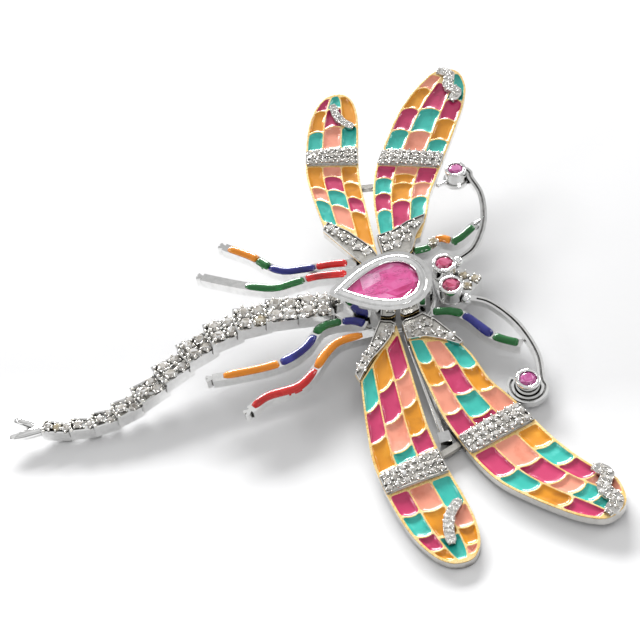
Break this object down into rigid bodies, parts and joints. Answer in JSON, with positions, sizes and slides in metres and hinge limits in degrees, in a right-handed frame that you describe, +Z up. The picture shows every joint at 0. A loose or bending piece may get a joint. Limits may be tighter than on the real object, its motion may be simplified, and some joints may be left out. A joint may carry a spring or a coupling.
{
  "type": "dragonfly brooch",
  "caption": "Dragonfly brooch with a pear stone body, patchwork enamel wings with pave bands, enamelled legs, a scaled pave tail and a pin stem at the back.",
  "frame": {"origin": "centre of the lying brooch's box, on the surface that it lies on", "axes": "+Z up, +X toward the head, +Y toward the left wings"},
  "size_m": [0.0732, 0.0818, 0.0123],
  "materials": {
    "silver": "polished silver, darkened in the recesses",
    "gilt_silver": "silver tray with pale gilt cell borders, polished",
    "dark_silver": "oxidised silver, satin, bright on the raised edges",
    "pink_tourmaline": "faceted, transparent with fine inclusions",
    "ruby": "faceted, transparent",
    "pink_sapphire": "faceted, transparent",
    "champagne_stone": "faceted, transparent, grey to champagne",
    "enamel_turquoise": "glossy poured enamel",
    "enamel_crimson": "glossy poured enamel",
    "enamel_peach": "glossy poured enamel",
    "enamel_mustard": "glossy poured enamel",
    "leg_enamel_orange": "glossy rounded enamel",
    "leg_enamel_blue": "glossy rounded enamel",
    "leg_enamel_green": "glossy rounded enamel",
    "leg_enamel_red": "glossy rounded enamel"
  },
  "bodies": {
    "root": {"body_bezel": "silver", "pear_stone": "pink_tourmaline", "head": "silver", "left_eye_stone": "ruby", "right_eye_stone": "ruby", "nose_stones": "champagne_stone", "left_antenna": "silver", "right_antenna": "silver", "left_antenna_stone": "pink_sapphire", "right_antenna_stone": "pink_sapphire", "left_fore_wing": "gilt_silver", "right_fore_wing": "gilt_silver", "left_hind_wing": "gilt_silver", "right_hind_wing": "gilt_silver", "left_fore_turquoise": "enamel_turquoise", "left_fore_crimson": "enamel_crimson", "left_fore_peach": "enamel_peach", "left_fore_mustard": "enamel_mustard", "left_hind_turquoise": "enamel_turquoise", "left_hind_crimson": "enamel_crimson", "left_hind_peach": "enamel_peach", "left_hind_mustard": "enamel_mustard", "right_fore_turquoise": "enamel_turquoise", "right_fore_crimson": "enamel_crimson", "right_fore_peach": "enamel_peach", "right_fore_mustard": "enamel_mustard", "right_hind_turquoise": "enamel_turquoise", "right_hind_crimson": "enamel_crimson", "right_hind_peach": "enamel_peach", "right_hind_mustard": "enamel_mustard", "left_fore_pave": "champagne_stone", "right_fore_pave": "champagne_stone", "left_hind_pave": "champagne_stone", "right_hind_pave": "champagne_stone", "left_front_leg": "silver", "right_front_leg": "silver", "left_middle_leg": "silver", "right_middle_leg": "silver", "left_hind_leg": "silver", "right_hind_leg": "silver", "leg_orange": "leg_enamel_orange", "leg_blue": "leg_enamel_blue", "leg_green": "leg_enamel_green", "leg_red": "leg_enamel_red", "leg_stone": "champagne_stone", "left_strut": "dark_silver", "right_strut": "dark_silver", "tail": "dark_silver", "tail_stones": "champagne_stone", "pin": "silver"}
  },
  "joints": []
}
